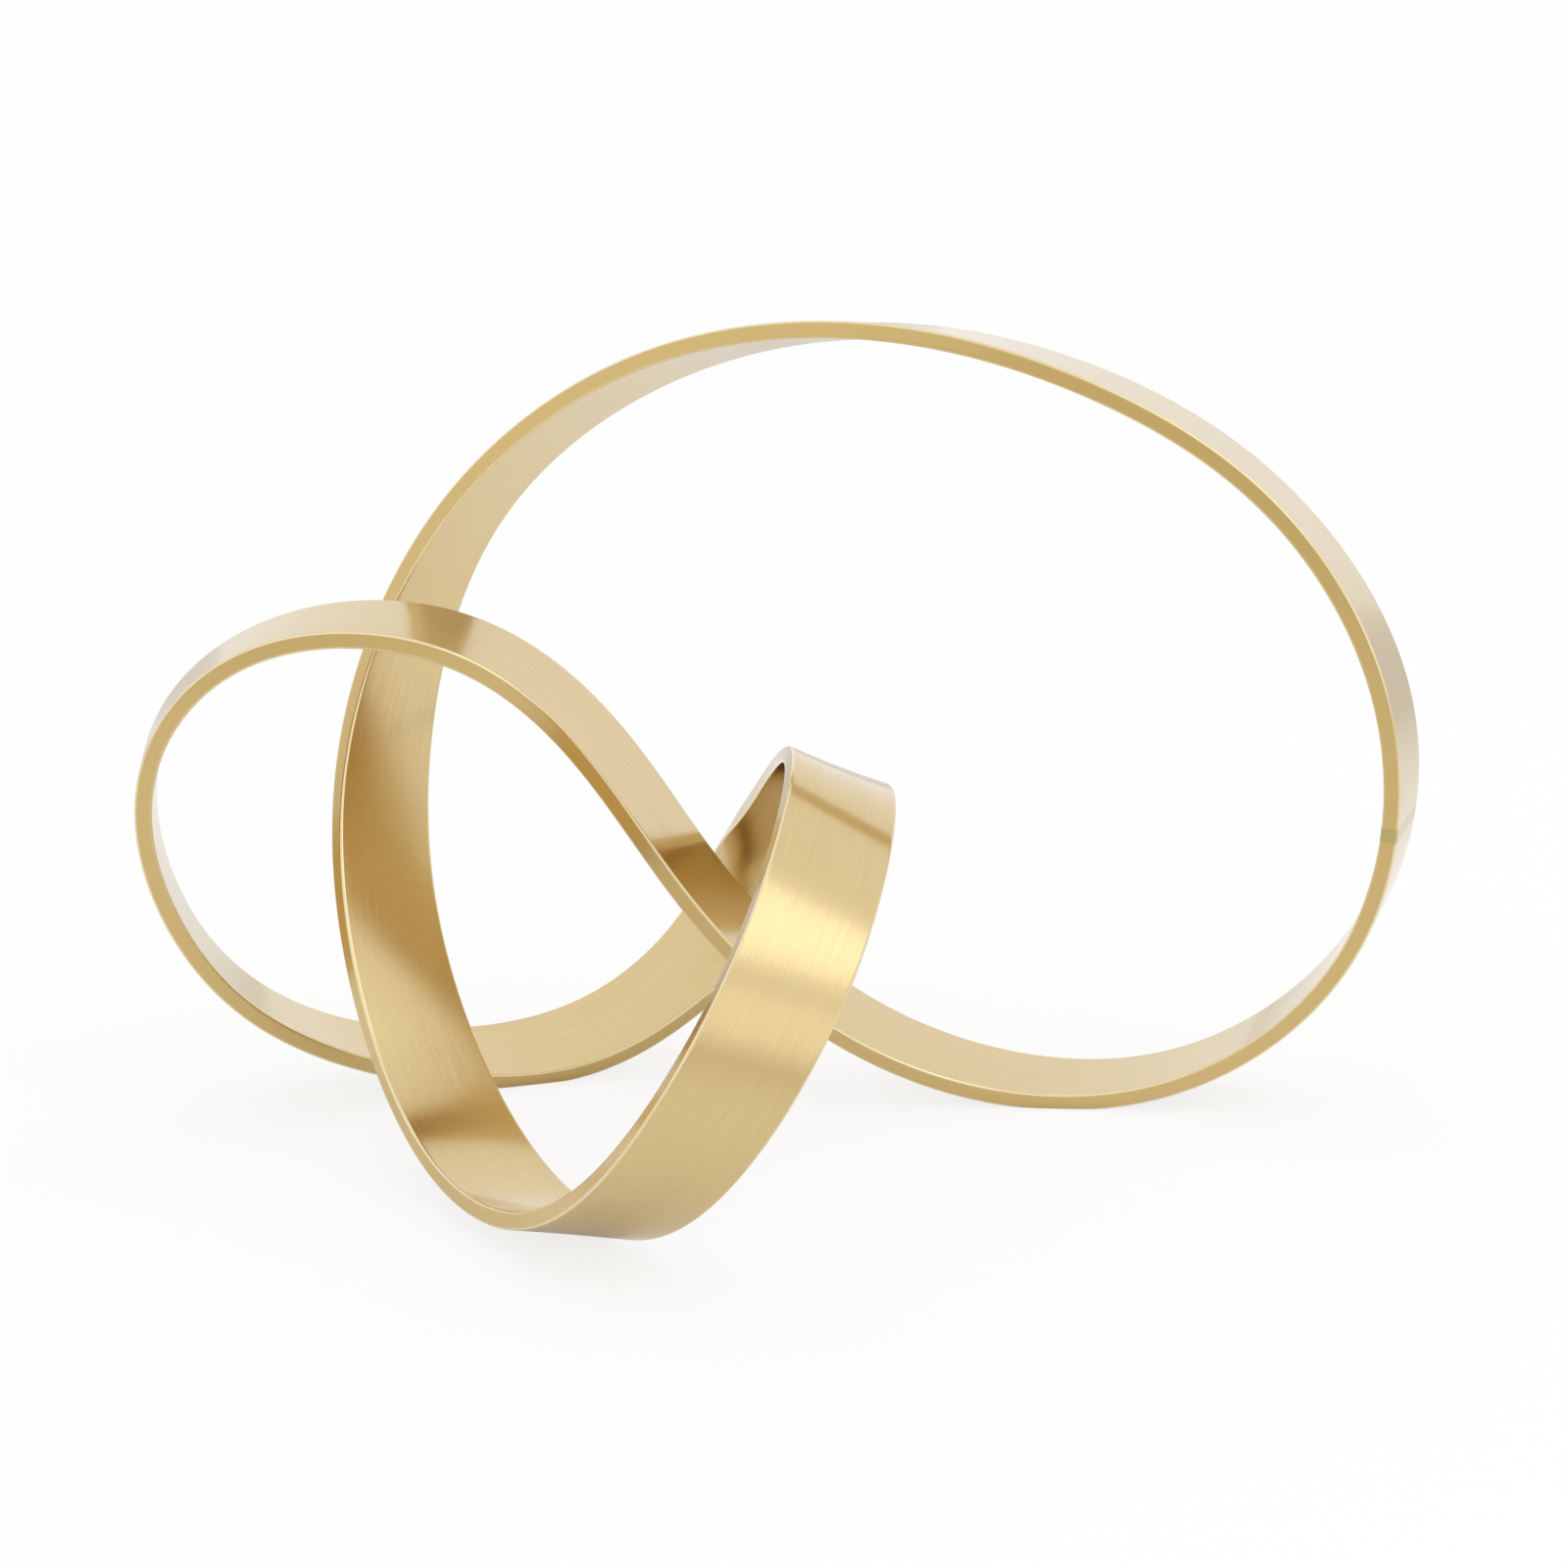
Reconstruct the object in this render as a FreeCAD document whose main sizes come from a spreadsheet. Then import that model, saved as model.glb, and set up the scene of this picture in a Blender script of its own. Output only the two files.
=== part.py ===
import FreeCAD, Part
import Sketcher
import math
import os

# A knot sculpture: one endless band of flat brass bar that crosses itself four times.
# The band is six bent bars, butt-welded end to end and ground flush.
# Frame: +X to the right, +Y away from the viewer, +Z up, floor at Z = 0.
# The origin is on the floor under the middle of the sculpture's box.

Vector = FreeCAD.Vector
doc = FreeCAD.newDocument("KnotSculpture")

# Driving sizes, in millimetres
SIZES = [
    ("reach", 360.0, "length that the shares of the band's places count"),
    ("barWidth", 32.0, "width of the flat bar"),
    ("barThick", 5.0, "thickness of the flat bar"),
    ("edgeEase", 0.5, "bevel that eases each long corner of the bar"),
    ("weldFace", 4.0, "width of a weld where it comes out on the broad faces"),
    ("weldRoot", 1.0, "width of a weld in the middle of the thickness"),
    ("groundOff", 1.0, "depth ground off under the band to level the feet"),
    ("ringStep", 6.0, "spacing of the cross-sections that shape the band"),
]

# Places along the band as shares of the reach, right, back and up from the origin,
# and at each the direction across the bar's width, from its second edge to its first.
# They go once round: up the right side, over the big loop, down the front leg, up the
# front strap, over the small loop, round the left loop and back along the base.
PLACE_SHARES = [
    ((0.49, 0.14, 0.13), (-0.3, -1.0, 0.0)),
    ((0.515, 0.13, 0.34), (-0.4, -1.0, 0.0)),
    ((0.41, 0.15, 0.515), (-0.2, -1.0, 0.0)),
    ((0.26, 0.18, 0.605), (-0.2, -1.0, 0.0)),
    ((0.08, 0.21, 0.65), (-0.1, -1.0, 0.1)),
    ((-0.11, 0.23, 0.62), (-0.2, -0.9, 0.3)),
    ((-0.27, 0.22, 0.50), (-0.3, -0.9, 0.3)),
    ((-0.335, 0.18, 0.31), (-0.7, -0.7, 0.2)),
    ((-0.32, 0.08, 0.16), (-0.7, -0.6, 0.1)),
    ((-0.25, -0.03, 0.02), (-0.9, -0.5, 0.0)),
    ((-0.15, -0.19, 0.005), (-0.9, -0.5, 0.3)),
    ((-0.06, -0.30, 0.125), (-0.9, -0.3, 0.5)),
    ((0.02, -0.24, 0.26), (-0.9, -0.1, 0.5)),
    ((0.055, -0.07, 0.365), (-0.9, 0.0, 0.6)),
    ((0.02, 0.19, 0.26), (-1.0, -0.3, 0.0)),
    ((-0.04, 0.285, 0.115), (-0.5, 0.8, 0.4)),
    ((-0.16, 0.26, 0.005), (-0.2, 1.0, 0.35)),
    ((-0.34, 0.20, 0.02), (-0.3, 0.9, 0.0)),
    ((-0.48, 0.14, 0.105), (-0.3, 0.9, 0.1)),
    ((-0.535, 0.10, 0.30), (-0.1, 1.0, 0.2)),
    ((-0.425, 0.08, 0.43), (0.1, 1.0, 0.0)),
    ((-0.24, 0.06, 0.435), (0.0, 1.0, 0.15)),
    ((-0.13, 0.11, 0.31), (0.2, 1.0, 0.2)),
    ((-0.055, 0.15, 0.16), (0.1, 0.9, 0.3)),
    ((0.10, 0.19, 0.02), (-0.1, 1.0, 0.2)),
    ((0.32, 0.18, -0.01), (0.1, 1.0, -0.1)),
]

# Butt welds, each at a share of the way round from the first place, with the bar that
# starts there. The closing weld is the seam on the right; the others lie behind a
# crossing, but for the shoulder weld on top of the left loop.
JOINT_SHARES = [
    ("closing_weld", 0.022, "big_loop_bar"),
    ("upper_left_weld", 0.252, "front_strap_bar"),
    ("small_loop_weld", 0.568, "back_link_bar"),
    ("lower_left_weld", 0.650, "left_loop_bar"),
    ("shoulder_weld", 0.812, "cross_link_bar"),
    ("cross_link_weld", 0.900, "loop_base_bar"),
]

# Bars that come down to the floor and are ground flat where they touch it
STANDING_BARS = ("front_strap_bar", "back_link_bar", "loop_base_bar")

# A weld's blank is this many weld faces long, so that the groove ends it
BLANK_SHARE = 2.5

# Spline degree of the middle line
SMOOTH_DEGREE = 3

# Sections looked at to find the band's box, and pieces that a length is added up from
BOX_SECTIONS = 2000
LENGTH_PIECES = 200

# Fewest steps between the sections of one blank
FEWEST_STEPS = 4

# A straight spline direction: its degree, and the knots and counts of its two ends
STRAIGHT_DEGREE = 1
STRAIGHT_KNOTS = [0.0, 1.0]
STRAIGHT_COUNTS = [2, 2]


def fillSheet():
    sheet = doc.addObject("Spreadsheet::Sheet", "Sizes")
    for row, (alias, value, meaning) in enumerate(SIZES, start=1):
        sheet.set("A%d" % row, alias)
        sheet.set("B%d" % row, str(value))
        sheet.set("C%d" % row, meaning)
        sheet.setAlias("B%d" % row, alias)
    doc.recompute()
    return sheet


sheet = fillSheet()


def size(alias):
    return float(sheet.get(alias))


def unit(vector):
    return vector / vector.Length


def endlessEdge():
    # The band is turned over once where it closes, so both of its edges are one line
    # that goes round twice. This spline is that line, half a bar's width off the middle.
    middles = []
    across = []
    for place, direction in PLACE_SHARES:
        middles.append(Vector(*place) * size("reach"))
        across.append(Vector(*direction) * size("barWidth") / 2)
    first = [middle + side for middle, side in zip(middles, across)]
    second = [middle - side for middle, side in zip(middles, across)]
    line = Part.BSplineCurve()
    line.buildFromPoles(first + second, True, SMOOTH_DEGREE)
    return line


edgeLine = endlessEdge()
lineStart = edgeLine.FirstParameter
oneRound = (edgeLine.LastParameter - lineStart) / 2


def edgeAt(share):
    # A periodic spline starts one place on, so the share is counted back by one place
    rounds = (share - 1 / len(PLACE_SHARES)) % 2
    return edgeLine.getD1(lineStart + rounds * oneRound)


def freeFrame(share):
    # Middle of the bar, with the directions along it, across its width and through it
    firstPoint, firstSlope = edgeAt(share)
    secondPoint, secondSlope = edgeAt(share + 1)
    middle = (firstPoint + secondPoint) / 2
    along = unit(firstSlope + secondSlope)
    width = firstPoint - secondPoint
    width = unit(width - along * width.dot(along))
    through = along.cross(width)
    return middle, along, width, through


def sectionCorners(frame):
    # The eight corners of the eased bar section, in order round it
    middle, along, width, through = frame
    halfWidth = size("barWidth") / 2
    halfThick = size("barThick") / 2
    ease = size("edgeEase")
    quarter = [(halfWidth, halfThick - ease), (halfWidth - ease, halfThick)]
    outline = list(quarter)
    outline += [(-w, t) for w, t in reversed(quarter)]
    outline += [(-w, -t) for w, t in quarter]
    outline += [(w, -t) for w, t in reversed(quarter)]
    return [middle + width * w + through * t for w, t in outline]


def standingShift():
    # Moves the band's box over the origin, and down by what is ground off its feet
    corners = []
    for number in range(BOX_SECTIONS):
        corners += sectionCorners(freeFrame(number / BOX_SECTIONS))
    across = [corner.x for corner in corners]
    back = [corner.y for corner in corners]
    middleX = (min(across) + max(across)) / 2
    middleY = (min(back) + max(back)) / 2
    return Vector(-middleX, -middleY, -size("groundOff"))


bandShift = standingShift()


def frameAt(share):
    middle, along, width, through = freeFrame(share)
    return middle + bandShift, along, width, through


def middleLength(start, end):
    # Length along the middle from one share of the round to another
    length = 0.0
    before = frameAt(start)[0]
    for number in range(1, LENGTH_PIECES + 1):
        after = frameAt(start + (end - start) * number / LENGTH_PIECES)[0]
        length += (after - before).Length
        before = after
    return length


def stripFace(first, second):
    # The straight-ruled face between two long corner lines, which share their knots
    surface = Part.BSplineSurface()
    surface.buildFromPolesMultsKnots(
        [first.getPoles(), second.getPoles()], STRAIGHT_COUNTS, first.getMultiplicities(),
        STRAIGHT_KNOTS, first.getKnots(), False, False, STRAIGHT_DEGREE, first.Degree)
    return surface.toShape()


def bentBar(start, end):
    # A closed solid of the bar between two shares of the round
    steps = max(FEWEST_STEPS, math.ceil(middleLength(start, end) / size("ringStep")))
    shares = [start + (end - start) * number / steps for number in range(steps + 1)]
    rings = [sectionCorners(frameAt(share)) for share in shares]
    corners = []
    for corner in range(len(rings[0])):
        curve = Part.BSplineCurve()
        curve.interpolate(Points=[ring[corner] for ring in rings], Parameters=shares)
        corners.append(curve)
    faces = []
    for number, corner in enumerate(corners):
        faces.append(stripFace(corner, corners[(number + 1) % len(corners)]))
    for ring in (rings[0], rings[-1]):
        faces.append(Part.Face(Part.makePolygon(ring + [ring[0]])))
    solid = Part.Solid(Part.Shell(faces))
    if solid.Volume < 0:
        solid.reverse()
    return solid


def addBlank(name, start, end):
    blank = doc.addObject("Part::Feature", name + "_blank")
    blank.Shape = bentBar(start, end)
    blank.Placement = FreeCAD.Placement()
    return blank


def grooveSketch(name, share):
    # The double-V section of a weld: wide on both broad faces, narrow in the middle.
    # The tool is twice as deep as the bar, and its flanks keep their slope out to its end.
    sketch = doc.addObject("Sketcher::SketchObject", name + "_section")
    root = size("weldRoot") / 2
    depth = size("barThick")
    flare = size("weldFace") - root
    points = [
        Vector(root, 0),
        Vector(flare, depth),
        Vector(-flare, depth),
        Vector(-root, 0),
        Vector(-flare, -depth),
        Vector(flare, -depth),
    ]
    for number, point in enumerate(points):
        sketch.addGeometry(Part.LineSegment(point, points[(number + 1) % len(points)]))
    for number in range(len(points)):
        # A sketch calls a line's start its point 1 and its end its point 2
        ends = (number, 2, (number + 1) % len(points), 1)
        sketch.addConstraint(Sketcher.Constraint("Coincident", *ends))
    bindGroove(sketch)
    middle, along, width, through = frameAt(share)
    turn = FreeCAD.Rotation(along, through, width * -1, "XYZ")
    sketch.Placement = FreeCAD.Placement(middle, turn)
    return sketch


def bindGroove(sketch):
    # Each corner's distances from the sketch's origin, its point 1 of line -1, are driven
    # by the sheet
    root = "(Sizes.weldRoot / 2)"
    depth = "Sizes.barThick"
    flare = "(Sizes.weldFace - Sizes.weldRoot / 2)"
    corners = [
        (root, ""),
        (flare, depth),
        ("-" + flare, depth),
        ("-" + root, ""),
        ("-" + flare, "-" + depth),
        (flare, "-" + depth),
    ]
    for line, rules in enumerate(corners):
        corner = sketch.Geometry[line].StartPoint
        for kind, rule, value in zip(("DistanceX", "DistanceY"), rules, corner):
            number = sketch.addConstraint(Sketcher.Constraint(kind, -1, 1, line, 1, value))
            if rule:
                sketch.setExpression("Constraints[%d]" % number, rule)


def addGroove(name, share):
    groove = doc.addObject("Part::Extrusion", name + "_groove")
    groove.Base = grooveSketch(name, share)
    groove.DirMode = "Normal"
    groove.Solid = True
    groove.Symmetric = True
    groove.setExpression("LengthFwd", "Sizes.barWidth + Sizes.barThick")
    return groove


def addFloorTool():
    # A slab under the floor that grinds the feet level
    slab = doc.addObject("Part::Box", "floor_tool")
    slab.setExpression("Length", "2 * Sizes.reach")
    slab.setExpression("Width", "2 * Sizes.reach")
    slab.setExpression("Height", "Sizes.barWidth")
    slab.setExpression("Placement.Base.x", "-Sizes.reach")
    slab.setExpression("Placement.Base.y", "-Sizes.reach")
    slab.setExpression("Placement.Base.z", "-Sizes.barWidth")
    return slab


def addBar(name, start, end, tools):
    tool = doc.addObject("Part::Compound", name + "_tools")
    tool.Links = tools
    bar = doc.addObject("Part::Cut", name)
    bar.Base = addBlank(name, start, end)
    bar.Tool = tool
    bar.Label = name
    return bar


def addWeld(name, share, groove):
    lengthShare = size("weldFace") * BLANK_SHARE / bandLength / 2
    weld = doc.addObject("Part::Common", name)
    weld.Base = addBlank(name, share - lengthShare, share + lengthShare)
    weld.Tool = groove
    weld.Label = name
    return weld


bandLength = middleLength(0.0, 1.0)
print("length of the band along its middle: %.0f mm" % bandLength)

floorTool = addFloorTool()
grooves = [addGroove(weldName, share) for weldName, share, barName in JOINT_SHARES]
subParts = []
for number, (weldName, share, barName) in enumerate(JOINT_SHARES):
    following = (number + 1) % len(JOINT_SHARES)
    nextShare = JOINT_SHARES[following][1]
    if nextShare < share:
        nextShare += 1
    cutters = [grooves[number], grooves[following]]
    if barName in STANDING_BARS:
        cutters.append(floorTool)
    subParts.append(addBar(barName, share, nextShare, cutters))
    subParts.append(addWeld(weldName, share, grooves[number]))
doc.recompute()

for item in doc.Objects:
    if "Invalid" in item.State or "Error" in item.State:
        raise RuntimeError("%s is not up to date: %s" % (item.Name, item.State))
for part in subParts:
    shape = part.Shape
    if shape.isNull() or not shape.isValid() or len(shape.Solids) != 1:
        raise RuntimeError("%s is not one valid solid" % part.Label)

os.makedirs("parts", exist_ok=True)
for part in subParts:
    part.Shape.exportStep("parts/%s.step" % part.Label)
    box = part.Shape.optimalBoundingBox(False, False)
    print("%-18s %8.0f mm3  z %.2f to %.2f" % (part.Label, part.Shape.Volume, box.ZMin, box.ZMax))
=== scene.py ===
import bmesh
import bpy
import math
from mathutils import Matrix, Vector


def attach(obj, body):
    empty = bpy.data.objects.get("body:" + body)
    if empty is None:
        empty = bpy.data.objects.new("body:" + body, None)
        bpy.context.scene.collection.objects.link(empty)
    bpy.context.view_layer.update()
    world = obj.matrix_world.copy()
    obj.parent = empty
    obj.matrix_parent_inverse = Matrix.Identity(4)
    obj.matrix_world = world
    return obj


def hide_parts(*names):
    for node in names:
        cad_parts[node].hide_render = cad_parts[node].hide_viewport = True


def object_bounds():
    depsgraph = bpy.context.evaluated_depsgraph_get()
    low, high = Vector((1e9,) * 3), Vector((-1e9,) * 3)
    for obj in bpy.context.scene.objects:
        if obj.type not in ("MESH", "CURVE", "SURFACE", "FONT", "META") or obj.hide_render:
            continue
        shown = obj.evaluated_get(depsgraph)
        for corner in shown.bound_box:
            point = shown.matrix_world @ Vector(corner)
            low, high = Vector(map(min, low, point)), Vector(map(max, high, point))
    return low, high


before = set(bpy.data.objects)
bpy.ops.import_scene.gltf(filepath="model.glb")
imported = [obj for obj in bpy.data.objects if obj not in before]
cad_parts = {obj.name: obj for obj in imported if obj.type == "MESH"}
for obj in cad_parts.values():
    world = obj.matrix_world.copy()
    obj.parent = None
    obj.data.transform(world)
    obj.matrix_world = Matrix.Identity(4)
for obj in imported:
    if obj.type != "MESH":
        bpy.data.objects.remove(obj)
cadLow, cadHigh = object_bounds()
print("frame loaded, %d nodes" % len(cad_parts))

rightAngle = 90      # degrees

# camera, at the photograph's viewing angle
cameraSettings = {
    "place": (0.0008, -0.9489, 0.3612),
    "tiltDown": 14.70,      # degrees below the horizon
    "lens": 81.18,
    "sensor": 36.0,
}


def makeCamera(settings):
    data = bpy.data.cameras.new("camera")
    data.lens = settings["lens"]
    data.sensor_width = settings["sensor"]
    camera = bpy.data.objects.new("camera", data)
    camera.location = settings["place"]
    # a camera turned up by a right angle looks level
    camera.rotation_euler = (math.radians(rightAngle - settings["tiltDown"]), 0, 0)
    bpy.context.scene.collection.objects.link(camera)
    bpy.context.scene.camera = camera


makeCamera(cameraSettings)
print("camera placed")


# the band: one flat bar bent along a closed route, in metres
bandSettings = {
    "reach": 0.360,          # length that the route's shares count
    "width": 0.032,
    "thickness": 0.005,
    "cornerRound": 0.0007,
    "cornerSteps": 4,
    "acrossSteps": 12,       # strips across a broad face
    "edgeSteps": 3,          # strips across an edge face
    "supportGap": 0.0003,    # strip beside each corner, which keeps the faces flat
    "alongStep": 0.0015,
    "fewestSteps": 3,        # along a piece, however short it is
    "routeSteps": 60,        # points worked out between two places of the route
    "weldFace": 0.004,
    "roundLength": 1.718,    # length of one round along the middle of the bar
    "sharpAngle": 40,        # degrees, past which an edge isn't shaded smooth
}

# places along the band as shares of the reach (right, back, up), and the direction
# across the bar there; the list goes round once, and the band turns over in that round
bandRoute = [
    ((0.49, 0.14, 0.13), (-0.3, -1.0, 0.0)),
    ((0.515, 0.13, 0.34), (-0.4, -1.0, 0.0)),
    ((0.41, 0.15, 0.515), (-0.2, -1.0, 0.0)),
    ((0.26, 0.18, 0.605), (-0.2, -1.0, 0.0)),
    ((0.08, 0.21, 0.65), (-0.1, -1.0, 0.1)),
    ((-0.11, 0.23, 0.62), (-0.2, -0.9, 0.3)),
    ((-0.27, 0.22, 0.50), (-0.3, -0.9, 0.3)),
    ((-0.335, 0.18, 0.31), (-0.7, -0.7, 0.2)),
    ((-0.32, 0.08, 0.16), (-0.7, -0.6, 0.1)),
    ((-0.25, -0.03, 0.02), (-0.9, -0.5, 0.0)),
    ((-0.15, -0.19, 0.005), (-0.9, -0.5, 0.3)),
    ((-0.06, -0.30, 0.125), (-0.9, -0.3, 0.5)),
    ((0.02, -0.24, 0.26), (-0.9, -0.1, 0.5)),
    ((0.055, -0.07, 0.365), (-0.9, 0.0, 0.6)),
    ((0.02, 0.19, 0.26), (-1.0, -0.3, 0.0)),
    ((-0.04, 0.285, 0.115), (-0.5, 0.8, 0.4)),
    ((-0.16, 0.26, 0.005), (-0.2, 1.0, 0.35)),
    ((-0.34, 0.20, 0.02), (-0.3, 0.9, 0.0)),
    ((-0.48, 0.14, 0.105), (-0.3, 0.9, 0.1)),
    ((-0.535, 0.10, 0.30), (-0.1, 1.0, 0.2)),
    ((-0.425, 0.08, 0.43), (0.1, 1.0, 0.0)),
    ((-0.24, 0.06, 0.435), (0.0, 1.0, 0.15)),
    ((-0.13, 0.11, 0.31), (0.2, 1.0, 0.2)),
    ((-0.055, 0.15, 0.16), (0.1, 0.9, 0.3)),
    ((0.10, 0.19, 0.02), (-0.1, 1.0, 0.2)),
    ((0.32, 0.18, -0.01), (0.1, 1.0, -0.1)),
]

# the band is only closed after two rounds; in the second, the direction across is reversed
roundSides = (1, -1)

# welds, each at a share of the round, with the bar that starts there
bandJoints = [
    ("closing_weld", 0.022, "big_loop_bar"),
    ("upper_left_weld", 0.252, "front_strap_bar"),
    ("small_loop_weld", 0.568, "back_link_bar"),
    ("lower_left_weld", 0.650, "left_loop_bar"),
    ("shoulder_weld", 0.812, "cross_link_bar"),
    ("cross_link_weld", 0.900, "loop_base_bar"),
]

# what the route, the section and the pieces' surfaces carry
acrossBarName = "acrossBar"    # direction across the bar at a place of the route
roundBarName = "roundBar"      # length round the section
barPlaceName = "barPlace"      # across, through and along the bar, in metres
grainMapName = "grainMap"      # map whose first direction runs across the grain


def routeObject(settings, route):
    mesh = bpy.data.meshes.new("bandRoute")
    places = []
    across = []
    for side in roundSides:
        for place, direction in route:
            places.append(Vector(place) * settings["reach"])
            across.append(Vector(direction) * side)
    mesh.from_pydata(places, [], [])
    acrossBar = mesh.attributes.new(acrossBarName, "FLOAT_VECTOR", "POINT")
    for item, direction in zip(acrossBar.data, across):
        item.vector = direction
    return bpy.data.objects.new("bandRoute", mesh)


def cornerOffset(quarters, corner):
    # from the middle of a round corner to its surface, after so many quarter turns
    turn = quarters * math.radians(rightAngle)
    return Vector((math.cos(turn), math.sin(turn))) * corner


def sectionOutline(settings):
    # the bar's cross-section: four round corners, each with the straight side after it
    corner = settings["cornerRound"]
    reachX = settings["width"] / 2 - corner
    reachY = settings["thickness"] / 2 - corner
    centres = [Vector((reachX, reachY)), Vector((-reachX, reachY)),
               Vector((-reachX, -reachY)), Vector((reachX, -reachY))]
    outline = []
    for quarter, centre in enumerate(centres):
        for step in range(settings["cornerSteps"]):
            turned = quarter + step / settings["cornerSteps"]
            outline.append(centre + cornerOffset(turned, corner))
        out = cornerOffset(quarter + 1, corner)
        start = centre + out
        end = centres[(quarter + 1) % len(centres)] + out
        inner = (end - start).normalized() * settings["supportGap"]
        steps = settings["edgeSteps"] if quarter % 2 else settings["acrossSteps"]
        outline.append(start)
        for step in range(steps + 1):
            outline.append((start + inner).lerp(end - inner, step / steps))
    return outline


def sectionObject(outline):
    curve = bpy.data.curves.new("barSection", "CURVE")
    spline = curve.splines.new("POLY")
    spline.points.add(len(outline) - 1)
    for point, place in zip(spline.points, outline):
        point.co = (place.x, place.y, 0, 1)
    spline.use_cyclic_u = True
    return bpy.data.objects.new("barSection", curve)


def setInputs(tree, node, inputs):
    # links what comes from another node, and types in the rest
    for socket, value in inputs.items():
        if isinstance(value, bpy.types.NodeSocket):
            tree.links.new(value, node.inputs[socket])
        else:
            node.inputs[socket].default_value = value


def addNode(tree, kind, inputs=None, **values):
    node = tree.nodes.new(kind)
    for name, value in values.items():
        setattr(node, name, value)
    setInputs(tree, node, inputs or {})
    return node


def mathNode(tree, operation, *values):
    node = addNode(tree, "ShaderNodeMath", dict(enumerate(values)), operation=operation)
    return node.outputs[0]


def vectorNode(tree, operation, *values):
    sockets = (0, "Scale") if operation == "SCALE" else range(len(values))
    node = addNode(tree, "ShaderNodeVectorMath", dict(zip(sockets, values)), operation=operation)
    return node.outputs[0]


# a mix node's first input, second input and result for each kind of value
mixSockets = {"VECTOR": (4, 5, 1), "RGBA": (6, 7, 2)}


def mixNode(tree, kind, share, first, second):
    # the first value turns into the second as the share goes from none to all
    firstIn, secondIn, result = mixSockets[kind]
    inputs = {"Factor": share, firstIn: first, secondIn: second}
    return addNode(tree, "ShaderNodeMix", inputs, data_type=kind).outputs[result]


def nodeGroup(name, kind, inputs, outputs):
    # a new group with its named sockets, and the two nodes inside that stand for them
    tree = bpy.data.node_groups.new(name, kind)
    for inOut, sockets in (("INPUT", inputs), ("OUTPUT", outputs)):
        for socketName, socketKind in sockets.items():
            tree.interface.new_socket(socketName, in_out=inOut,
                                      socket_type="NodeSocket" + socketKind)
    given = tree.nodes.new("NodeGroupInput").outputs
    result = tree.nodes.new("NodeGroupOutput").inputs
    return tree, given, result


def smoothRoute(tree, routePoints, settings):
    # the route as a smooth spline, closed after both rounds
    points = addNode(tree, "GeometryNodeMeshToPoints", {"Mesh": routePoints})
    line = addNode(tree, "GeometryNodePointsToCurves", {"Points": points.outputs[0]})
    closed = addNode(tree, "GeometryNodeSetSplineCyclic",
                     {"Geometry": line.outputs[0], "Cyclic": True})
    spline = addNode(tree, "GeometryNodeCurveSplineType",
                     {"Curve": closed.outputs[0]}, spline_type="NURBS")
    fine = addNode(tree, "GeometryNodeSetSplineResolution",
                   {"Geometry": spline.outputs[0], "Resolution": settings["routeSteps"]})
    workedOut = addNode(tree, "GeometryNodeResampleCurve",
                        {"Curve": fine.outputs[0]}, mode="EVALUATED")
    return workedOut.outputs[0]


def straightBar(tree, given, settings):
    # the section drawn along a straight line as long as the stretch
    shareSpan = mathNode(tree, "SUBTRACT", given["End share"], given["Start share"])
    barLength = mathNode(tree, "MULTIPLY", shareSpan, given["Round length"])
    lineEnd = addNode(tree, "ShaderNodeCombineXYZ", {"Z": barLength})
    straight = addNode(tree, "GeometryNodeCurvePrimitiveLine", {"End": lineEnd.outputs[0]})
    steps = mathNode(tree, "CEIL", mathNode(tree, "DIVIDE", barLength, given["Along step"]))
    enough = mathNode(tree, "MAXIMUM", steps, float(settings["fewestSteps"]))
    count = mathNode(tree, "ADD", enough, 1.0)
    stepped = addNode(tree, "GeometryNodeResampleCurve",
                      {"Curve": straight.outputs[0], "Count": count})
    section = addNode(tree, "GeometryNodeObjectInfo", {"Object": given["Section"]})
    perimeter = addNode(tree, "GeometryNodeSplineParameter")
    marked = addNode(tree, "GeometryNodeStoreNamedAttribute",
                     {"Geometry": section.outputs["Geometry"], "Name": roundBarName,
                      "Value": perimeter.outputs["Length"]},
                     data_type="FLOAT", domain="POINT")
    bar = addNode(tree, "GeometryNodeCurveToMesh",
                  {"Curve": stepped.outputs[0], "Profile Curve": marked.outputs[0],
                   "Fill Caps": True})
    return bar.outputs[0]


def markedBar(tree, bar, given):
    # keeps on the bar where each of its points is, counted along the whole band
    position = addNode(tree, "GeometryNodeInputPosition")
    here = addNode(tree, "ShaderNodeSeparateXYZ", {"Vector": position.outputs[0]}).outputs
    before = mathNode(tree, "MULTIPLY", given["Start share"], given["Round length"])
    along = mathNode(tree, "ADD", here["Z"], before)
    share = mathNode(tree, "DIVIDE", along, given["Round length"])
    barPlace = addNode(tree, "ShaderNodeCombineXYZ", {"X": here["X"], "Y": here["Y"], "Z": along})
    placed = addNode(tree, "GeometryNodeStoreNamedAttribute",
                     {"Geometry": bar, "Name": barPlaceName, "Value": barPlace.outputs[0]},
                     data_type="FLOAT_VECTOR", domain="POINT")
    roundBar = addNode(tree, "GeometryNodeInputNamedAttribute",
                       {"Name": roundBarName}, data_type="FLOAT")
    mapPlace = addNode(tree, "ShaderNodeCombineXYZ", {"X": roundBar.outputs[0], "Y": along})
    mapped = addNode(tree, "GeometryNodeStoreNamedAttribute",
                     {"Geometry": placed.outputs[0], "Name": grainMapName,
                      "Value": mapPlace.outputs[0]},
                     data_type="FLOAT2", domain="CORNER")
    return mapped.outputs[0], here, share


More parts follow.
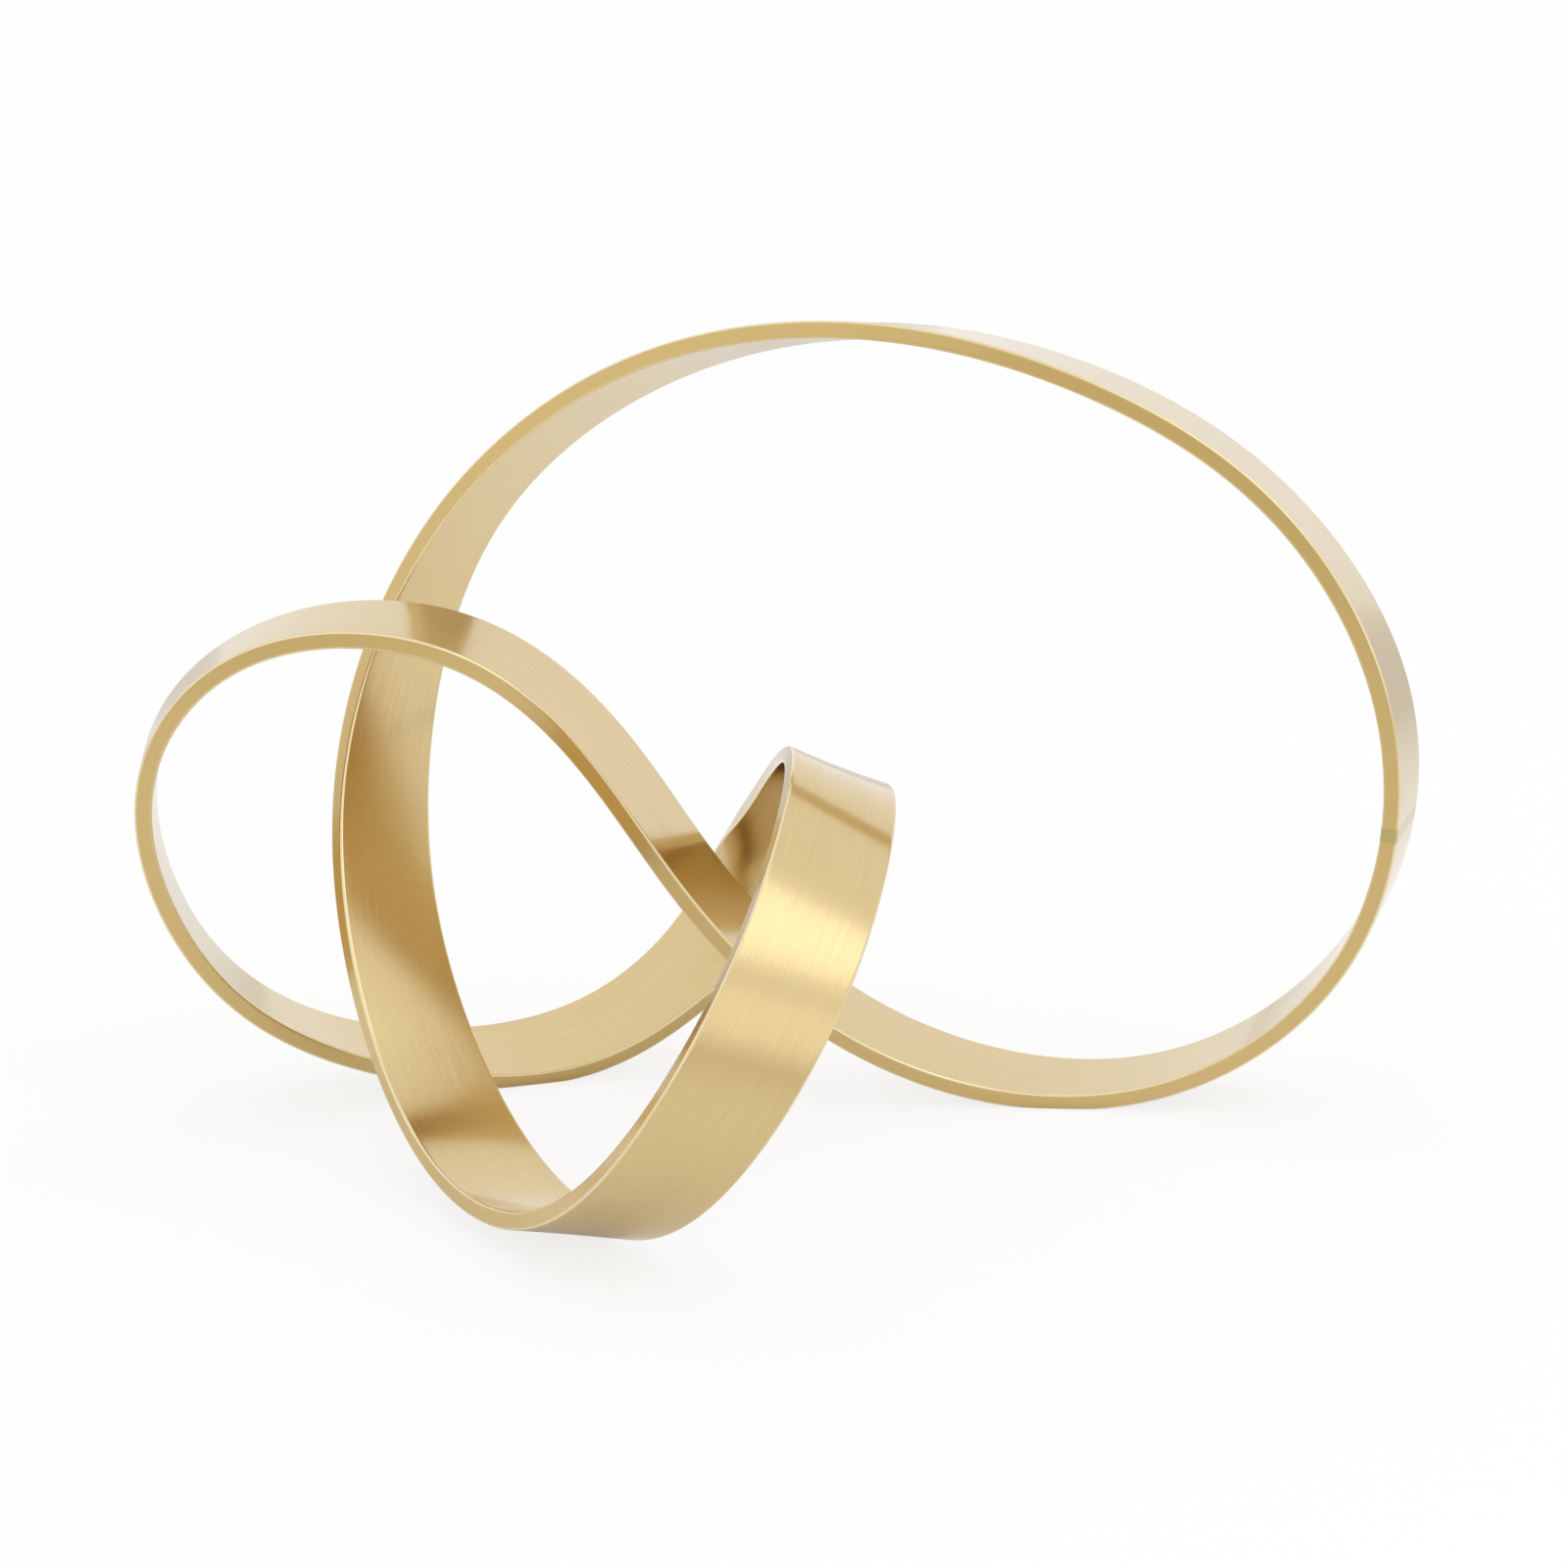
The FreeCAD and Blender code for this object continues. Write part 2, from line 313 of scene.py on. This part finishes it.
def sampledRoute(tree, curve, value, share, settings, places):
    # a vector of the worked-out route at a share of the round, between its two points
    pointsRound = places * settings["routeSteps"]
    pointsInAll = float(pointsRound * len(roundSides))
    # a closed spline's first worked-out point is at its second place
    start = mathNode(tree, "SUBTRACT", share, 1 / places)
    counted = mathNode(tree, "MULTIPLY", start, float(pointsRound))
    lower = mathNode(tree, "FLOOR", counted)
    fraction = mathNode(tree, "FRACT", counted)
    ends = []
    for step in (0.0, 1.0):
        point = mathNode(tree, "ADD", lower, step)
        index = mathNode(tree, "FLOORED_MODULO", point, pointsInAll)
        sample = addNode(tree, "GeometryNodeSampleIndex",
                         {"Geometry": curve, "Value": value, "Index": index},
                         data_type="FLOAT_VECTOR", domain="POINT")
        ends.append(sample.outputs["Value"])
    return mixNode(tree, "VECTOR", fraction, *ends)


def bentBar(tree, bar, here, share, route, settings, places):
    # the middle of the route at each share, then out across and through the bar
    routePlace = addNode(tree, "GeometryNodeInputPosition")
    routeAlong = addNode(tree, "GeometryNodeInputTangent")
    routeAcross = addNode(tree, "GeometryNodeInputNamedAttribute",
                          {"Name": acrossBarName}, data_type="FLOAT_VECTOR")
    middle, leadingOn, leaning = [
        sampledRoute(tree, route, source.outputs[0], share, settings, places)
        for source in (routePlace, routeAlong, routeAcross)]
    alongBar = vectorNode(tree, "NORMALIZE", leadingOn)
    lean = addNode(tree, "ShaderNodeVectorMath",
                   {0: leaning, 1: alongBar}, operation="DOT_PRODUCT").outputs["Value"]
    square = vectorNode(tree, "SUBTRACT", leaning, vectorNode(tree, "SCALE", alongBar, lean))
    acrossBar = vectorNode(tree, "NORMALIZE", square)
    throughBar = vectorNode(tree, "CROSS_PRODUCT", alongBar, acrossBar)
    outAcross = vectorNode(tree, "SCALE", acrossBar, here["X"])
    outThrough = vectorNode(tree, "SCALE", throughBar, here["Y"])
    onMiddlePlane = vectorNode(tree, "ADD", middle, outAcross)
    bentPlace = vectorNode(tree, "ADD", onMiddlePlane, outThrough)
    bent = addNode(tree, "GeometryNodeSetPosition", {"Geometry": bar, "Position": bentPlace})
    return bent.outputs[0]


def bentBarTree(settings, places):
    # makes a bar straight, then bends it along the route between two shares
    inputs = {
        "Route": "Geometry",
        "Section": "Object",
        "Start share": "Float",
        "End share": "Float",
        "Round length": "Float",
        "Along step": "Float",
        "Metal": "Material",
    }
    tree, given, result = nodeGroup("bentBar", "GeometryNodeTree", inputs,
                                    {"Geometry": "Geometry"})
    route = smoothRoute(tree, given["Route"], settings)
    straight = straightBar(tree, given, settings)
    marked, here, share = markedBar(tree, straight, given)
    bent = bentBar(tree, marked, here, share, route, settings, places)
    whole = addNode(tree, "GeometryNodeRealizeInstances", {"Geometry": bent})
    metal = addNode(tree, "GeometryNodeSetMaterial",
                    {"Geometry": whole.outputs[0], "Material": given["Metal"]})
    tree.links.new(metal.outputs[0], result["Geometry"])
    return tree


def makeBarPiece(name, tree, route, values):
    # the tree's result as a plain mesh on an object of its own
    host = bpy.data.objects.new(name + "Host", route.data)
    bpy.context.scene.collection.objects.link(host)
    modifier = host.modifiers.new("bend", "NODES")
    modifier.node_group = tree
    for socket in tree.interface.items_tree:
        if socket.in_out == "INPUT" and socket.name in values:
            modifier[socket.identifier] = values[socket.name]
    bpy.context.view_layer.update()
    result = host.evaluated_get(bpy.context.evaluated_depsgraph_get())
    mesh = bpy.data.meshes.new_from_object(result)
    mesh.name = name
    bpy.data.objects.remove(host)
    piece = bpy.data.objects.new(name, mesh)
    bpy.context.scene.collection.objects.link(piece)
    return piece


def bandStretches(settings, joints):
    # each weld and the bar after it, with the shares of the round where they start and end
    weldHalf = settings["weldFace"] / 2 / settings["roundLength"]
    stretches = []
    for number, (weldName, share, barName) in enumerate(joints):
        nextShare = joints[(number + 1) % len(joints)][1]
        if nextShare < share:
            nextShare += 1
        stretches.append((weldName, share - weldHalf, share + weldHalf))
        stretches.append((barName, share + weldHalf, nextShare - weldHalf))
    return stretches


def bandPieces(settings, route, joints, metals):
    # the six bars and the six welds between them, in order along the band
    routeHost = routeObject(settings, route)
    section = sectionObject(sectionOutline(settings))
    tree = bentBarTree(settings, len(route))
    pieces = []
    for nodeName, start, end in bandStretches(settings, joints):
        usual = metals["weld" if nodeName.endswith("_weld") else "bar"]
        values = {
            "Section": section,
            "Start share": start,
            "End share": end,
            "Round length": settings["roundLength"],
            "Along step": settings["alongStep"],
            "Metal": metals.get(nodeName, usual),
        }
        pieces.append((nodeName, makeBarPiece(nodeName + "_metal", tree, routeHost, values)))
    bpy.data.objects.remove(routeHost)
    bpy.data.objects.remove(section)
    return pieces


def shiftToBox(pieces, low, high):
    # takes the band to the middle of the frame's box, with its top at the box's top
    places = [vertex.co for name, piece in pieces for vertex in piece.data.vertices]
    lowX, highX = min(place.x for place in places), max(place.x for place in places)
    lowY, highY = min(place.y for place in places), max(place.y for place in places)
    top = max(place.z for place in places)
    return Vector(((low.x + high.x - lowX - highX) / 2,
                   (low.y + high.y - lowY - highY) / 2, high.z - top))


def cutFeet(work):
    # cuts off what lies under the floor, and closes each cut with a flat face
    everything = work.verts[:] + work.edges[:] + work.faces[:]
    cut = bmesh.ops.bisect_plane(work, geom=everything, plane_co=(0, 0, 0),
                                 plane_no=(0, 0, 1), clear_inner=True)
    rim = [item for item in cut["geom_cut"] if isinstance(item, bmesh.types.BMEdge)]
    flats = bmesh.ops.contextual_create(work, geom=rim)
    for flat in flats["faces"]:
        flat.smooth = False
        flat.normal_update()
        if flat.normal.z > 0:
            flat.normal_flip()
    for edge in rim:
        edge.smooth = False


def seatBand(pieces, low, high):
    shift = shiftToBox(pieces, low, high)
    for name, piece in pieces:
        work = bmesh.new()
        work.from_mesh(piece.data)
        bmesh.ops.translate(work, verts=work.verts, vec=shift)
        if min(vertex.co.z for vertex in work.verts) < 0:
            cutFeet(work)
        work.to_mesh(piece.data)
        work.free()


def smoothBand(pieces, sharpAngle):
    for name, piece in pieces:
        piece.data.shade_smooth()
        piece.data.set_sharp_from_angle(angle=math.radians(sharpAngle))


# brass, brushed along the bar; lengths in metres
brassSettings = {
    "colour": (0.735, 0.565, 0.285),
    "streakColour": (0.665, 0.505, 0.24),
    "edgeShadeColour": (0.64, 0.46, 0.185),    # painted shade: a darker, deeper gold on the narrow edge faces
    "cornerHighlightColour": (0.84, 0.71, 0.44),    # painted highlight along the rounded corners
    "cornerReach": 0.0007,
    "grazingTint": (0.96, 0.93, 0.87),
    "roughness": 0.20,
    "roughnessSpread": 0.05,
    "anisotropy": 0.6,
    "lacquer": 0.8,            # weight of the clear lacquer over the brass
    "lacquerRoughness": 0.10,
    "streakWidth": 0.0005,
    "streakLength": 0.060,
    "streakShare": 0.6,        # the long streaks' part of the grain; the fine ones have the rest
    "fineWidth": 0.00022,
    "fineLength": 0.014,
    "grainDepth": 0.000006,
    "waveSize": 0.030,         # the slight unevenness of a bent bar
    "waveDepth": 0.00010,
}

# the closing weld, which was dressed less well than the others
seamSettings = {
    "colour": (0.60, 0.50, 0.22),
    "streakColour": (0.50, 0.41, 0.17),
    # painted shade on the weld's edge faces
    "edgeShadeColour": (0.52, 0.43, 0.16),
    # painted highlight on the weld's corners
    "cornerHighlightColour": (0.60, 0.50, 0.26),
    "roughness": 0.30,
}

# noise of the brushed grain, and the values of it that give no streak and a full one
grainSettings = {
    "detail": 2.0,
    "roughness": 0.6,
    "none": 0.3,
    "full": 0.7,
}

# the share of the corner's reach past which the edge face and its painted shade start, and the
# share of both faces' reach at which the painted corner highlight is full
maskSettings = {
    "edgeStart": 0.3,
    "cornerFull": 0.4,
}


def brushedGrainGroup(settings):
    # streaks that follow the bar: long along it, narrow across and through it
    tree, given, result = nodeGroup(
        "brushedGrain", "ShaderNodeTree",
        {"Place": "Vector", "Streak width": "Float", "Streak length": "Float"},
        {"Streaks": "Float"})
    parts = addNode(tree, "ShaderNodeSeparateXYZ", {"Vector": given["Place"]}).outputs
    across = mathNode(tree, "DIVIDE", parts["X"], given["Streak width"])
    through = mathNode(tree, "DIVIDE", parts["Y"], given["Streak width"])
    along = mathNode(tree, "DIVIDE", parts["Z"], given["Streak length"])
    scaled = addNode(tree, "ShaderNodeCombineXYZ", {"X": across, "Y": through, "Z": along})
    noise = addNode(tree, "ShaderNodeTexNoise",
                    {"Vector": scaled.outputs[0], "Scale": 1.0,
                     "Detail": settings["detail"], "Roughness": settings["roughness"]})
    spread = addNode(tree, "ShaderNodeMapRange",
                     {"Value": noise.outputs[0], "From Min": settings["none"],
                      "From Max": settings["full"]})
    tree.links.new(spread.outputs[0], result["Streaks"])
    return tree


def barMasksGroup(settings, bandSize):
    # tells the edge faces and the rounded corners from the broad faces, for the painted edge
    # shade and the painted corner highlight
    tree, given, result = nodeGroup(
        "barMasks", "ShaderNodeTree",
        {"Place": "Vector", "Reach": "Float"}, {"Edge": "Float", "Corner": "Float"})
    parts = addNode(tree, "ShaderNodeSeparateXYZ", {"Vector": given["Place"]}).outputs
    nearSides = []
    for axis, size in (("X", bandSize["width"]), ("Y", bandSize["thickness"])):
        out = mathNode(tree, "ABSOLUTE", parts[axis])
        start = mathNode(tree, "SUBTRACT", size / 2, given["Reach"])
        past = mathNode(tree, "SUBTRACT", out, start)
        near = addNode(tree, "ShaderNodeMapRange", {"Value": past, "From Max": given["Reach"]})
        nearSides.append(near.outputs[0])
    edge = mathNode(tree, "GREATER_THAN", nearSides[0], settings["edgeStart"])
    both = mathNode(tree, "MULTIPLY", *nearSides)
    corner = addNode(tree, "ShaderNodeMapRange",
                     {"Value": both, "From Max": settings["cornerFull"]})
    tree.links.new(edge, result["Edge"])
    tree.links.new(corner.outputs[0], result["Corner"])
    return tree


def groupNode(tree, group, inputs):
    return addNode(tree, "ShaderNodeGroup", inputs, node_tree=group).outputs


def colourMix(tree, share, first, second):
    colours = [colour if isinstance(colour, bpy.types.NodeSocket) else (*colour, 1)
               for colour in (first, second)]
    return mixNode(tree, "RGBA", share, *colours)


def grainNodes(tree, place, settings, grain):
    # the long streaks and the fine ones together
    streaks = groupNode(tree, grain, {"Place": place, "Streak width": settings["streakWidth"],
                                      "Streak length": settings["streakLength"]})["Streaks"]
    fine = groupNode(tree, grain, {"Place": place, "Streak width": settings["fineWidth"],
                                   "Streak length": settings["fineLength"]})["Streaks"]
    finePart = mathNode(tree, "MULTIPLY", fine, 1 - settings["streakShare"])
    return mathNode(tree, "MULTIPLY_ADD", streaks, settings["streakShare"], finePart)


def brassColour(tree, place, streaks, settings, masks):
    found = groupNode(tree, masks, {"Place": place, "Reach": settings["cornerReach"]})
    broad = colourMix(tree, streaks, settings["colour"], settings["streakColour"])
    # painted shade: a darker, deeper gold on the edge faces
    edgeShaded = colourMix(tree, found["Edge"], broad, settings["edgeShadeColour"])
    # a painted highlight on the rounded corners
    return colourMix(tree, found["Corner"], edgeShaded, settings["cornerHighlightColour"])


def brassBump(tree, place, streaks, settings):
    # the grain on top of the slight waves of the bent bar
    wave = addNode(tree, "ShaderNodeTexNoise",
                   {"Vector": place, "Scale": 1 / settings["waveSize"], "Detail": 0.0})
    waves = mathNode(tree, "MULTIPLY", wave.outputs[0], settings["waveDepth"])
    height = mathNode(tree, "MULTIPLY_ADD", streaks, settings["grainDepth"], waves)
    return addNode(tree, "ShaderNodeBump", {"Height": height, "Distance": 1.0}).outputs[0]


def brushedMetal(name, settings, grain, masks):
    material = bpy.data.materials.new(name)
    material.use_nodes = True
    tree = material.node_tree
    place = addNode(tree, "ShaderNodeAttribute", attribute_name=barPlaceName).outputs["Vector"]
    streaks = grainNodes(tree, place, settings, grain)
    rough = addNode(tree, "ShaderNodeMapRange", {
        "Value": streaks,
        "To Min": settings["roughness"] - settings["roughnessSpread"],
        "To Max": settings["roughness"] + settings["roughnessSpread"]})
    tangent = addNode(tree, "ShaderNodeTangent", direction_type="UV_MAP", uv_map=grainMapName)
    setInputs(tree, tree.nodes["Principled BSDF"], {
        "Metallic": 1.0,
        "Specular Tint": (*settings["grazingTint"], 1),
        "Anisotropic": settings["anisotropy"],
        "Coat Weight": settings["lacquer"],
        "Coat Roughness": settings["lacquerRoughness"],
        "Base Color": brassColour(tree, place, streaks, settings, masks),
        "Roughness": rough.outputs[0],
        "Normal": brassBump(tree, place, streaks, settings),
        "Tangent": tangent.outputs[0],
    })
    return material


grainGroup = brushedGrainGroup(grainSettings)
masksGroup = barMasksGroup(maskSettings, bandSettings)
closingSettings = {**brassSettings, **seamSettings}
metals = {
    "bar": brushedMetal("brushedBrass", brassSettings, grainGroup, masksGroup),
    "weld": brushedMetal("dressedWeld", brassSettings, grainGroup, masksGroup),
    "closing_weld": brushedMetal("seamWeld", closingSettings, grainGroup, masksGroup),
}
band = bandPieces(bandSettings, bandRoute, bandJoints, metals)
seatBand(band, cadLow, cadHigh)
smoothBand(band, bandSettings["sharpAngle"])
for nodeName, piece in band:
    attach(piece, "root")
    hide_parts(nodeName)
print("band made, %d pieces" % len(band))


plainWhite = (1.0, 1.0, 1.0)

# white floor, and the white room that lights the object
studioSettings = {
    "floorSize": 30.0,
    "floorColour": (0.94, 0.94, 0.94),
    "floorRoughness": 0.9,
    "floorWhite": 0.80,        # how much of the floor the camera sees as plain white
    "floorGlow": 0.15,         # the same for what the metal reflects
    "floorFall": {
        # from where to where the reflected floor falls off, and the tone it ends at
        "front": (0.0, -0.60, (0.82, 0.78, 0.66)),
        "back": (0.2, 0.9, (0.76, 0.74, 0.72)),
    },
    "worldStrength": 1.0,
    "worldFront": (1.0, 0.99, 0.92),      # the room behind the camera, a little warmer
    "worldFrontEnd": -0.95,    # how far round to the front the warm part is full
    "worldFrontStart": -0.3,   # and how far round it starts
}

# soft lamps to the right, the second one fading off below the first
softboxes = {
    "mainSoftbox": {
        "turn": 58.0,          # degrees from the front, to the right
        "height": 47.0,        # degrees above the floor
        "distance": 1.6,
        "width": 0.75,
        "depth": 0.95,
        "strength": 0.75,      # how much brighter than the white room it is
        "colour": (0.88, 0.96, 1.0),
    },
    "lowSoftbox": {
        "turn": 46.0,
        "height": 12.0,
        "distance": 1.7,
        "width": 0.80,
        "depth": 0.55,
        "strength": 0.22,
        "colour": (0.95, 0.98, 1.0),
    },
}


def smoothRange(tree, value, start, end):
    # goes smoothly from none at the start to all at the end
    node = addNode(tree, "ShaderNodeMapRange",
                   {"Value": value, "From Min": start, "From Max": end},
                   interpolation_type="SMOOTHSTEP")
    return node.outputs[0]


def floorTone(tree, seen, settings):
    # white to the camera; what the metal reflects falls off to the front and the back
    objectPlace = tree.nodes.new("ShaderNodeTexCoord").outputs["Object"]
    place = addNode(tree, "ShaderNodeSeparateXYZ", {"Vector": objectPlace})
    notSeen = mathNode(tree, "SUBTRACT", 1.0, seen)
    tone = plainWhite
    for start, end, dim in settings["floorFall"].values():
        far = smoothRange(tree, place.outputs["Y"], start, end)
        tone = colourMix(tree, mathNode(tree, "MULTIPLY", far, notSeen), tone, dim)
    return tone


def floorMaterial(settings):
    material = bpy.data.materials.new("whiteFloor")
    material.use_nodes = True
    tree = material.node_tree
    path = tree.nodes.new("ShaderNodeLightPath").outputs
    seen = path["Is Camera Ray"]
    reflected = mathNode(tree, "MAXIMUM", path["Is Glossy Ray"], path["Is Transmission Ray"])
    tone = floorTone(tree, seen, settings)
    shader = tree.nodes["Principled BSDF"]
    setInputs(tree, shader, {
        "Base Color": vectorNode(tree, "MULTIPLY", tone, settings["floorColour"]),
        "Roughness": settings["floorRoughness"],
        "Specular IOR Level": 0.0,
    })
    white = addNode(tree, "ShaderNodeEmission", {"Color": tone, "Strength": 1.0})
    seenWhite = mathNode(tree, "MULTIPLY", seen, settings["floorWhite"])
    glow = mathNode(tree, "MULTIPLY", reflected, settings["floorGlow"])
    share = mathNode(tree, "MAXIMUM", seenWhite, glow)
    mix = addNode(tree, "ShaderNodeMixShader",
                  {0: share, 1: shader.outputs[0], 2: white.outputs[0]})
    tree.links.new(mix.outputs[0], tree.nodes["Material Output"].inputs["Surface"])
    return material


def makeFloor(settings):
    half = settings["floorSize"] / 2
    mesh = bpy.data.meshes.new("floor")
    mesh.from_pydata([(-half, -half, 0), (half, -half, 0), (half, half, 0), (-half, half, 0)],
                     [], [(0, 1, 2, 3)])
    mesh.materials.append(floorMaterial(settings))
    floor = bpy.data.objects.new("floor", mesh)
    bpy.context.scene.collection.objects.link(floor)


def makeWorld(settings):
    # a white room, a little warmer behind the camera; plain white where it is seen
    world = bpy.data.worlds.new("studio")
    world.use_nodes = True
    tree = world.node_tree
    skyPlace = tree.nodes.new("ShaderNodeTexCoord").outputs["Generated"]
    way = addNode(tree, "ShaderNodeSeparateXYZ", {"Vector": skyPlace})
    notFront = smoothRange(tree, way.outputs["Y"], settings["worldFrontEnd"],
                           settings["worldFrontStart"])
    seen = tree.nodes.new("ShaderNodeLightPath").outputs["Is Camera Ray"]
    white = mathNode(tree, "MAXIMUM", notFront, seen)
    setInputs(tree, tree.nodes["Background"], {
        "Color": colourMix(tree, white, settings["worldFront"], plainWhite),
        "Strength": settings["worldStrength"],
    })
    bpy.context.scene.world = world


def makeSoftbox(name, settings, target):
    # a soft rectangular lamp that faces the object; its power follows from its brightness
    data = bpy.data.lights.new(name, "AREA")
    data.shape = "RECTANGLE"
    data.size = settings["width"]
    data.size_y = settings["depth"]
    data.color = settings["colour"]
    data.energy = settings["strength"] * math.pi * settings["width"] * settings["depth"]
    lamp = bpy.data.objects.new(name, data)
    turn = math.radians(settings["turn"])
    height = math.radians(settings["height"])
    away = Vector((math.sin(turn) * math.cos(height),
                   -math.cos(turn) * math.cos(height), math.sin(height)))
    lamp.location = target + away * settings["distance"]
    lamp.rotation_euler = away.to_track_quat("Z", "Y").to_euler()
    lamp.visible_camera = False
    bpy.context.scene.collection.objects.link(lamp)


makeFloor(studioSettings)
makeWorld(studioSettings)
for lampName, lampSettings in softboxes.items():
    makeSoftbox(lampName, lampSettings, (cadLow + cadHigh) / 2)
bpy.context.scene.view_settings.view_transform = "Standard"
print("studio made")
